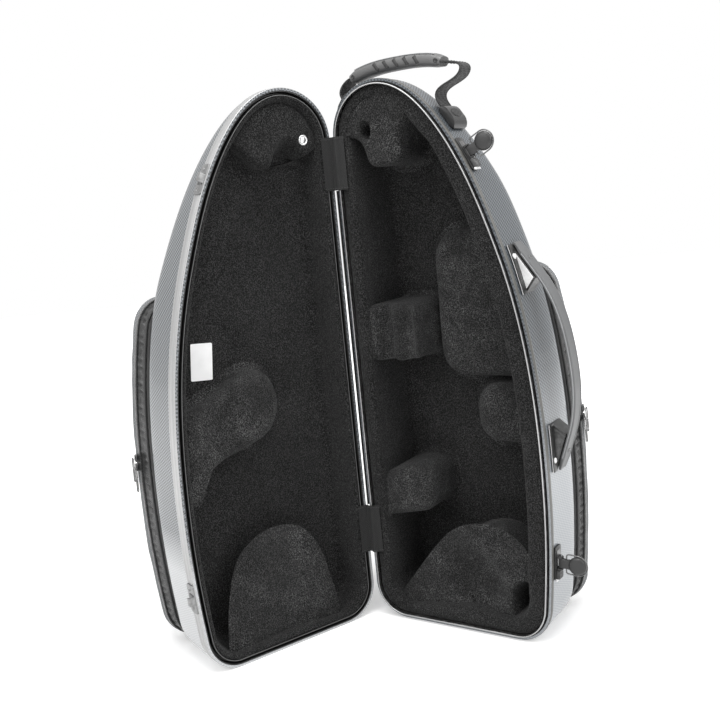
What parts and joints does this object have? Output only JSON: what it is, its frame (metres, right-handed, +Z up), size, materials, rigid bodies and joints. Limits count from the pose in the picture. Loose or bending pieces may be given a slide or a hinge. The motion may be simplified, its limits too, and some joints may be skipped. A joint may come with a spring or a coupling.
{
  "type": "alto saxophone case",
  "caption": "Hard shaped alto saxophone case standing open on its foot, with hinged shells, plush foam linings, draw latches, a side and a top handle, and zippered back pockets.",
  "frame": {"origin": "on the floor under the middle of the open case's bounding box", "axes": "+Z up along the case's length and the lid's hinge axis, the opening faces -Y, the base is on +X and the lid on -X"},
  "size_m": [0.5498, 0.2474, 0.6727],
  "materials": {
    "shell": "fine woven look under a clear gloss coat, silver band at the mouth",
    "black_plastic": "satin black moulding",
    "grey_plastic": "satin grey moulding",
    "tongue_metal": "bright drawn profile",
    "rubber": "black seal",
    "plush": "near-black short plush over foam",
    "steel": "bright plated",
    "dark_metal": "dark plated",
    "webbing": "black ribbed webbing",
    "nylon": "grey woven nylon",
    "label": "blank white"
  },
  "bodies": {
    "base": {"base_shell": "shell", "base_seal": "rubber", "base_tongue": "tongue_metal", "base_liner": "plush", "neck_block": "plush", "step_block": "plush", "upper_pad": "plush", "lower_pad": "plush", "side_pad": "plush", "bell_cradle": "plush", "base_pocket": "nylon", "base_pocket_zip": "nylon", "upper_hinge_leaf_base": "dark_metal", "lower_hinge_leaf_base": "dark_metal", "upper_hinge_pin": "steel", "lower_hinge_pin": "steel", "upper_hinge_tape": "webbing", "lower_hinge_tape": "webbing", "upper_latch_plate": "black_plastic", "lower_latch_plate": "black_plastic", "upper_latch_pin": "steel", "lower_latch_pin": "steel", "side_handle_strap": "grey_plastic", "upper_handle_bracket": "black_plastic", "lower_handle_bracket": "black_plastic", "upper_bracket_screw": "steel", "lower_bracket_screw": "steel", "neck_anchor": "black_plastic", "side_anchor": "black_plastic"},
    "lid": {"lid_shell": "shell", "lid_rim": "black_plastic", "lid_gasket": "rubber", "lid_liner": "plush", "lid_border": "plush", "lid_neck_pad": "plush", "lid_arm_pad": "plush", "lid_bell_pad": "plush", "blank_label": "label", "press_stud": "steel", "lid_pocket": "nylon", "lid_pocket_zip": "nylon", "upper_hinge_leaf_lid": "dark_metal", "lower_hinge_leaf_lid": "dark_metal", "upper_keeper": "steel", "lower_keeper": "steel"},
    "top_handle": {"handle_grip": "grey_plastic", "neck_webbing": "webbing", "side_webbing": "webbing"},
    "upper_lever": {"upper_latch_lever": "grey_plastic"},
    "upper_bail": {"upper_latch_bail": "steel"},
    "lower_lever": {"lower_latch_lever": "grey_plastic"},
    "lower_bail": {"lower_latch_bail": "steel"},
    "base_upper_slider": {"base_upper_slider": "dark_metal"},
    "base_upper_pull": {"base_upper_pull": "dark_metal"},
    "base_lower_slider": {"base_lower_slider": "dark_metal"},
    "base_lower_pull": {"base_lower_pull": "dark_metal"},
    "lid_upper_slider": {"lid_upper_slider": "dark_metal"},
    "lid_upper_pull": {"lid_upper_pull": "dark_metal"},
    "lid_lower_slider": {"lid_lower_slider": "dark_metal"},
    "lid_lower_pull": {"lid_lower_pull": "dark_metal"}
  },
  "joints": [
    {"name": "lid_hinge", "type": "hinge", "parent": "base", "child": "lid", "pos_m": [0.00203, 0.02055, 0.3], "axis": [0, 0, 1], "range_deg": [-64, 112], "deforming": ["upper_hinge_tape", "lower_hinge_tape"]},
    {"name": "top_handle_swing", "type": "hinge", "parent": "base", "child": "top_handle", "pos_m": [0.02565, 0.0408, 0.63548], "axis": [0.8151, -0.5498, -0.1827], "range_deg": [-22, 22], "stiffness_Nm_per_rad": 0.2, "deforming": ["neck_webbing", "side_webbing"]},
    {"name": "upper_lever_turn", "type": "hinge", "parent": "base", "child": "upper_lever", "pos_m": [0.15137, -0.06329, 0.56001], "axis": [-0.403, 0.2718, 0.8739], "range_deg": [-30, 90]},
    {"name": "upper_bail_turn", "type": "hinge", "parent": "upper_lever", "child": "upper_bail", "pos_m": [0.15571, -0.06622, 0.56293], "axis": [-0.403, 0.2718, 0.8739], "range_deg": [-82, 0]},
    {"name": "lower_lever_turn", "type": "hinge", "parent": "base", "child": "lower_lever", "pos_m": [0.2143, -0.10574, 0.09659], "axis": [0.0552, -0.0372, 0.9978], "range_deg": [-30, 90]},
    {"name": "lower_bail_turn", "type": "hinge", "parent": "lower_lever", "child": "lower_bail", "pos_m": [0.21927, -0.10909, 0.09619], "axis": [0.0552, -0.0372, 0.9978], "range_deg": [-82, 0]},
    {"name": "base_upper_slide", "type": "slide", "parent": "base", "child": "base_upper_slider", "axis": [-0.0351, 0.0236, 0.9991], "range_m": [0, 0.06]},
    {"name": "base_upper_pull_swing", "type": "hinge", "parent": "base_upper_slider", "child": "base_upper_pull", "pos_m": [0.26956, -0.02372, 0.25175], "axis": [-0.5592, -0.829, 0], "range_deg": [0, 110]},
    {"name": "base_lower_slide", "type": "slide", "parent": "base", "child": "base_lower_slider", "axis": [0.0351, -0.0236, -0.9991], "range_m": [0, 0.06]},
    {"name": "base_lower_pull_swing", "type": "hinge", "parent": "base_lower_slider", "child": "base_lower_pull", "pos_m": [0.26995, -0.02398, 0.24076], "axis": [-0.5592, -0.829, 0], "range_deg": [0, 110]},
    {"name": "lid_upper_slide", "type": "slide", "parent": "lid", "child": "lid_upper_slider", "axis": [0.0351, 0.0236, 0.9991], "range_m": [0, 0.06]},
    {"name": "lid_upper_pull_swing", "type": "hinge", "parent": "lid_upper_slider", "child": "lid_upper_pull", "pos_m": [-0.26956, -0.01845, 0.24175], "axis": [-0.5592, 0.829, 0], "range_deg": [0, 110]},
    {"name": "lid_lower_slide", "type": "slide", "parent": "lid", "child": "lid_lower_slider", "axis": [-0.0351, -0.0236, -0.9991], "range_m": [0, 0.06]},
    {"name": "lid_lower_pull_swing", "type": "hinge", "parent": "lid_lower_slider", "child": "lid_lower_pull", "pos_m": [-0.26995, -0.01872, 0.23076], "axis": [-0.5592, 0.829, 0], "range_deg": [0, 110]}
  ]
}
